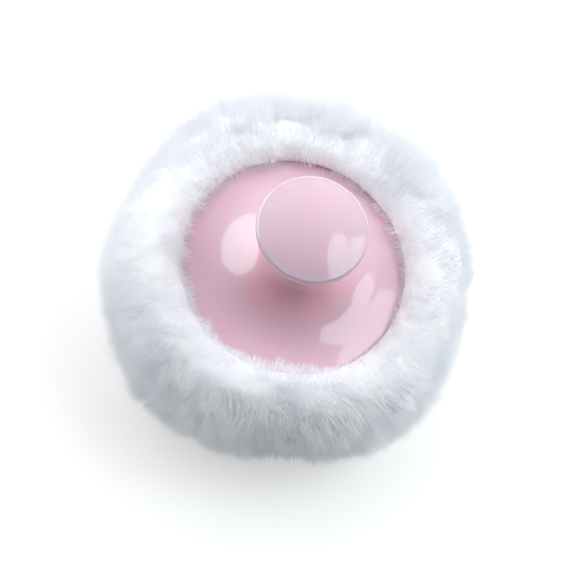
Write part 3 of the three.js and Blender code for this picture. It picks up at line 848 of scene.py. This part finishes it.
class POWDERPUFF_OT_pile(bpy.types.Operator):
    """Grow the pile on the backing as real fibres, sector by sector"""

    bl_idname = "powder_puff.pile"
    bl_label = "Pile"

    def execute(self, context):
        s, h = context.scene.powder_puff_soft, context.scene.powder_puff_handle
        guard = fibre_shape("guard", ((0.42, 0.9), (0.33, 0.72), (0.25, 0.0)))
        down = fibre_shape("down", ((1.0, 0.0),))
        material = pile_white("pile_white", s, 0.4)
        form = self.tips_form(s, h)
        self.underpile(form, s, h)
        for index in range(s.sectors):
            seed = 7 * index + 3
            coats = (guard, s.guards, 1.0, 0.35, seed), (down, s.downs, 0.9, 0.5, seed + 3)
            self.grow(self.sector(form, index, s.sectors), s, material, *coats)
        self.grow(self.lining(form, s, h), s, material, (guard, s.linings, 1.1, 0.65, 2))
        self.grow(self.rim_form(h), s, material, (guard, s.wisps, 1.1, 0.8, 5))
        for done in (guard, down, form):
            bpy.data.objects.remove(done)
        return {"FINISHED"}

    def grow(self, piece, s, material, *coats):
        """Turn a form into its fibres. Each coat has a fibre, its number, thickness, shortening and seed."""
        area = sum(face.area for face in piece.data.polygons)
        tree = bpy.data.node_groups.new(piece.name, "GeometryNodeTree")
        for way in ("INPUT", "OUTPUT"):
            tree.interface.new_socket("Geometry", in_out=way, socket_type="NodeSocketGeometry")
        tips = tree.nodes.new("NodeGroupInput").outputs[0]
        joined = tree.nodes.new("GeometryNodeJoinGeometry")
        for fibre, count, thick, short, seed in coats:
            grown = coat(tree, tips, fibre, count / area, s.fibre_radius * thick, short, seed)
            tree.links.new(grown, joined.inputs[0])
        tree.links.new(joined.outputs[0], tree.nodes.new("NodeGroupOutput").inputs[0])
        apply_modifier(piece, "NODES", node_group=tree)
        finish_piece(piece, material, "pile_fabric", "plush_cover", angle=1)

    def tips_form(self, s, h):
        """The surface through the tips, in lobes, that knows the backing's place under each point."""
        profile, backing = tip_profile(s, h), backing_profile(s, h)
        form = turned("pile_form", profile, SOFT_STEPS)
        rows = len(profile) - 1 - REST_STEPS
        # In millimetres: relief, inner edge in and up, fall of the crest, loose ends
        relief, hang, far_hang, ragged_hang = 0.9, 0.5, 1.2, 0.9
        stand, low_stand, pressed_drop, crest_fall = 0.5, 1.0, 1.4, 4.3
        loose, low_loose, inner_loose = 1.6, 0.7, 0.3
        form.data.attributes.new("root", VECTOR, "POINT")
        form.data.attributes.new("fringe", "FLOAT", "POINT")
        roots, fringes = form.data.attributes["root"].data, form.data.attributes["fringe"].data
        for vertex, root, fringe in zip(form.data.vertices, roots, fringes):
            place = math.hypot(vertex.co.x, vertex.co.y), vertex.co.z
            row = min(range(len(profile)), key=lambda at: math.dist(profile[at], place))
            share = math.sin(math.pi * max(row - REST_STEPS, 0) / rows)
            angle = bearing(vertex.co)
            out = heading(angle)
            under = out * backing[row][0] + Vector((0, 0, backing[row][1]))
            root.vector = under
            vertex.co += out * lobe(angle) * share
            way = (vertex.co - under).normalized()
            vertex.co += way * noise.noise(vertex.co / (6.0 * MM)) * relief * MM * share
            inner = max(row - CREST_ROW, 0) / MOUTH_STEPS
            upper = max(row - WIDEST_ROW, 0) / SIDE_STEPS
            bare, low = bareness(angle), facing(angle, LOW_SIDE)
            over = hang + far_hang * facing(angle, FAR_SIDE)
            over += ragged_hang * noise.noise(out * 6.0) * (1 - bare)
            vertex.co -= out * inner**2 * over * MM
            lift = stand - stand * bare + low_stand * low - pressed_drop * facing(angle, PRESSED_SIDE) ** 2
            vertex.co.z += inner**2 * lift * MM
            vertex.co.z -= crest_fall * MM * low * min(upper, 1.0) * (1 - inner)
            ends = loose + low_loose * low
            for middle, more, power in FRINGES:
                ends += more * facing(angle, middle) ** power
            fringe.value = MM * share * (ends * (1 - inner) + inner_loose * inner * (1 - bare))
        return form

    def lining(self, form, s, h):
        """The pile's inner slope, whose fibres lie down along it and over the flange's edge."""
        piece = duplicate(form, "pile_lining")
        crest, low = s.crest_radius - 0.5 * MM, h.rim_height - 0.5 * MM
        # In millimetres: how far the fibres lie in, less at the flat side, and their waves and turn
        laid_in, flat_less, waves, turn = 1.8, 0.2, ((1.1, 5.0), (0.9, 14.0)), 1.2
        delete_faces(piece, lambda face: face.center.xy.length > crest or face.center.z < low)
        roots, fringes = piece.data.attributes["root"].data, piece.data.attributes["fringe"].data
        for vertex, root, fringe in zip(piece.data.vertices, roots, fringes):
            angle = bearing(vertex.co)
            out, flat = heading(angle), facing(angle, FLAT_SIDE)
            inner = min(1.0, (s.crest_radius - vertex.co.xy.length) / (s.crest_radius - s.nest_radius))
            root.vector = Vector(root.vector).lerp(vertex.co, 0.9)
            over = laid_in - flat_less * flat
            for depth, scale in waves:
                over += depth * noise.noise(out * scale)
            vertex.co -= out * (over * MM) * (1 - 0.85 * inner * bareness(angle))
            vertex.co += Vector((-out.y, out.x, 0)) * noise.noise(out * 8.0) * turn * MM
            vertex.co.z += ((0.5 - 0.4 * flat) * inner - 1.0 * (1 - inner)) * MM
            fringe.value = 0.0
        return piece

    def rim_form(self, h):
        """A ring over the flange's edge, where the tips of stray fibres lie, open on the bare side."""
        rim, edge = h.rim_height, h.flange_radius
        ring = [(edge + 0.2 * MM, rim + 0.9 * MM), (edge - 1.5 * MM, rim + 1.7 * MM)]
        form = turned("pile_rim", ring, SOFT_STEPS)
        roots = form.data.attributes.new("root", VECTOR, "POINT")
        for vertex, root in zip(form.data.vertices, roots.data):
            angle = bearing(vertex.co)
            out = heading(angle)
            root.vector = out * (edge + 1.0 * MM) + Vector((0, 0, rim + 0.4 * MM))
            vertex.co += out * (1.6 * bareness(angle) - 1.4 * noise.noise(out * 9.0)) * MM
            vertex.co += Vector((-out.y, out.x, 0)) * noise.noise(out * 12.0) * 2.0 * MM
        delete_faces(form, lambda face: bareness(bearing(face.center)) > 0.6)
        return form

    def underpile(self, form, s, h):
        """The dense down between the backing and the tips, tucked behind the rim, and the roots in it."""
        down = duplicate(form, "underpile")
        mouth = backing_profile(s, h)[-1]
        tucked = Vector((h.flange_radius - 0.25 * MM, 0, h.rim_height - 0.22 * MM))
        down_share, root_share, lumps = 0.80, 0.6, ((8.0 * MM, 0.06), (2.5 * MM, 0.05))
        roots = form.data.attributes["root"].data
        for vertex, root in zip(down.data.vertices, roots):
            lump = sum(noise.noise(vertex.co / wave) * depth for wave, depth in lumps)
            start = Vector(root.vector)
            vertex.co = start.lerp(vertex.co, down_share + lump)
            if math.dist((math.hypot(start.x, start.y), start.z), mouth) < CLEARANCE:
                vertex.co = Matrix.Rotation(bearing(start), 3, "Z") @ tucked
        for vertex, root in zip(form.data.vertices, roots):
            root.vector = Vector(root.vector).lerp(vertex.co, root_share)
        finish_piece(down, pile_white("down_white", s), "pile_fabric", "plush_cover", angle=180)

    def sector(self, form, index, count):
        """One sector of the form."""
        piece = duplicate(form, f"pile_{index + 1:02d}")

        def outside(face):
            return (bearing(face.center) / math.tau - index / count) % 1.0 >= 1 / count

        delete_faces(piece, outside)
        return piece


class POWDERPUFF_OT_stage(bpy.types.Operator):
    """Set the floor, the light and the camera"""

    bl_idname = "powder_puff.stage"
    bl_label = "Stage"

    def execute(self, context):
        scene = context.scene
        s, h = scene.powder_puff_stage, scene.powder_puff_handle
        scene.view_settings.view_transform = "Standard"
        scene.cycles.max_bounces = 16
        scene.cycles.diffuse_bounces = 12
        toward = Vector((0, -math.cos(s.elevation), math.sin(s.elevation)))
        level_up = Vector((0, math.sin(s.elevation), math.cos(s.elevation)))
        right = Vector((math.cos(s.roll), 0, 0)) + level_up * math.sin(s.roll)
        up = level_up * math.cos(s.roll) - Vector((math.sin(s.roll), 0, 0))
        rim = Vector((0, 0, h.rim_height - 1.0 * MM))
        per_pixel = s.distance * SENSOR / s.lens / PHOTO_SIZE
        across, down = FLANGE_ACROSS - PHOTO_SIZE / 2, FLANGE_DOWN - PHOTO_SIZE / 2
        aim = rim - right * across * per_pixel + up * down * per_pixel
        view = bpy.data.cameras.new("camera")
        view.lens, view.sensor_width = s.lens, SENSOR
        scene.camera = self.stand("camera", view, aim + toward * s.distance, right, up, toward)
        self.floor()
        self.lamp("window_right", (0.48, 0.26, 0.84), 3.0, RIGHT_PANES)
        left = self.lamp("window_left", (-0.80, 0.14, 0.58), 3.6, LEFT_PANES)
        left.visible_diffuse = False
        left.data.color = (0.62, 1.0, 1.0)
        self.world(scene)
        return {"FINISHED"}

    def stand(self, name, data, place, *axes):
        """Stand a camera or a lamp at a place, with the ways to its right, up and back."""
        holder = bpy.data.objects.new(name, data)
        bpy.context.scene.collection.objects.link(holder)
        holder.matrix_world = Matrix.Translation(place) @ Matrix(axes).transposed().to_4x4()
        return holder

    def floor(self):
        """A white sheet that shows a little brighter than it is lit."""
        plane = primitive(bpy.ops.mesh.primitive_plane_add, "floor", size=6)
        material, tree, shader = new_material("floor_white")
        rays = add(tree, "ShaderNodeLightPath").outputs
        seen = maths(tree, "MAXIMUM", rays["Is Camera Ray"], rays["Is Glossy Ray"])
        seen = maths(tree, "MAXIMUM", seen, rays["Is Transmission Ray"])
        fill(tree, shader, {
            "Base Color": (0.76, 0.76, 0.75, 1),
            "Roughness": 0.9,
            "Specular IOR Level": 0.0,
            "Emission Color": (1.0, 1.0, 0.99, 1),
            "Emission Strength": maths(tree, "MULTIPLY", seen, 0.41),
        })
        plane.data.materials.append(material)

    def lamp(self, name, way, radiance, panes):
        """A soft lamp in the shape of a window, made of round panes: the middle and half size of each."""
        distance, aim, waves, depth = 0.75, 0.03, 14.0, 0.07
        lamp = bpy.data.lights.new(name, "AREA")
        lamp.size = 2 * max(abs(middle[axis]) + half[axis] for middle, half in panes for axis in (0, 1))
        lamp.energy = radiance * math.pi * lamp.size**2
        lamp.color = (0.86, 1.0, 0.98)
        lamp.use_nodes = True
        tree = lamp.node_tree
        place = add(tree, "ShaderNodeNewGeometry").outputs["Parametric"]
        place = vectors(tree, "SCALE", vectors(tree, "SUBTRACT", place, (0.5, 0.5, 0.0)), scale=lamp.size)
        ragged = add(tree, "ShaderNodeTexNoise", {"Vector": place, "Scale": waves}).outputs["Color"]
        ragged = vectors(tree, "SUBTRACT", ragged, (0.5, 0.5, 0.5))
        ragged = vectors(tree, "SCALE", ragged, scale=depth)
        place = vectors(tree, "MULTIPLY", vectors(tree, "ADD", place, ragged), (1.0, 1.0, 0.0))
        shine = 0.0
        for middle, half in panes:
            off = vectors(tree, "DIVIDE", vectors(tree, "SUBTRACT", place, (*middle, 0.0)), (*half, 1.0))
            limits = {"Value": vectors(tree, "LENGTH", off), "From Min": 1.03, "From Max": 0.95}
            soft = add(tree, "ShaderNodeMapRange", limits).outputs[0]
            shine = maths(tree, "MAXIMUM", soft, shine)
        tree.links.new(shine, tree.nodes["Emission"].inputs["Strength"])
        way = Vector(way).normalized()
        side = Vector((0, 0, 1)).cross(way).normalized()
        return self.stand(name, lamp, way * distance + Vector((0, 0, aim)), side, way.cross(side), way)

    def world(self, scene):
        """A pale room with a bright wall and a bright ceiling, and white behind everything."""
        world = bpy.data.worlds.new("studio")
        scene.world = world
        world.use_nodes = True
        tree = world.node_tree
        way = add(tree, "ShaderNodeTexCoord").outputs["Generated"]
        glow = 0.04
        for centre, start, power, gain in GLOWS:
            turned_to = vectors(tree, "DOT_PRODUCT", way, Vector(centre).normalized())
            near = add(tree, "ShaderNodeMapRange", {"Value": turned_to, "From Min": start}).outputs["Result"]
            glow = maths(tree, "ADD", maths(tree, "MULTIPLY", maths(tree, "POWER", near, power), gain), glow)
        seen = add(tree, "ShaderNodeLightPath").outputs["Is Camera Ray"]
        strength = add(tree, "ShaderNodeMix", {"Factor": seen, 2: glow, 3: 1.0}).outputs[0]
        sky = tree.nodes["Background"]
        sky.inputs["Color"].default_value = (0.97, 0.98, 1.0, 1)
        tree.links.new(strength, sky.inputs["Strength"])


class POWDERPUFF_PT_panel(bpy.types.Panel):
    """Pieces of the powder puff"""

    bl_idname = "POWDERPUFF_PT_panel"
    bl_label = "Powder Puff"
    bl_space_type = "VIEW_3D"
    bl_region_type = "UI"
    bl_category = "Powder Puff"

    def draw(self, context):
        for settings in ("powder_puff_handle", "powder_puff_soft", "powder_puff_stage"):
            group = getattr(context.scene, settings)
            box = self.layout.box()
            for name in group.bl_rna.properties.keys():
                if name not in ("rna_type", "name"):
                    box.prop(group, name)
        for operator in OPERATORS:
            self.layout.operator(operator.bl_idname)


OPERATORS = (
    POWDERPUFF_OT_handle,
    POWDERPUFF_OT_cap,
    POWDERPUFF_OT_fastening,
    POWDERPUFF_OT_filling,
    POWDERPUFF_OT_elastic,
    POWDERPUFF_OT_cover,
    POWDERPUFF_OT_pile,
    POWDERPUFF_OT_stage,
)
CLASSES = (HandleSettings, PuffSettings, StageSettings, *OPERATORS, POWDERPUFF_PT_panel)


def register():
    """Add the classes and their settings to Blender."""
    for item in CLASSES:
        bpy.utils.register_class(item)
    bpy.types.Scene.powder_puff_handle = PointerProperty(type=HandleSettings)
    bpy.types.Scene.powder_puff_soft = PointerProperty(type=PuffSettings)
    bpy.types.Scene.powder_puff_stage = PointerProperty(type=StageSettings)


def unregister():
    """Take them away again."""
    del bpy.types.Scene.powder_puff_stage
    del bpy.types.Scene.powder_puff_soft
    del bpy.types.Scene.powder_puff_handle
    for item in reversed(CLASSES):
        bpy.utils.unregister_class(item)


def main():
    """Build the puff piece by piece."""
    register()
    bpy.ops.powder_puff.handle()
    bpy.ops.powder_puff.cap()
    bpy.ops.powder_puff.fastening()
    bpy.ops.powder_puff.filling()
    bpy.ops.powder_puff.elastic()
    bpy.ops.powder_puff.cover()
    bpy.ops.powder_puff.pile()
    bpy.ops.powder_puff.stage()


if __name__ == "__main__":
    main()
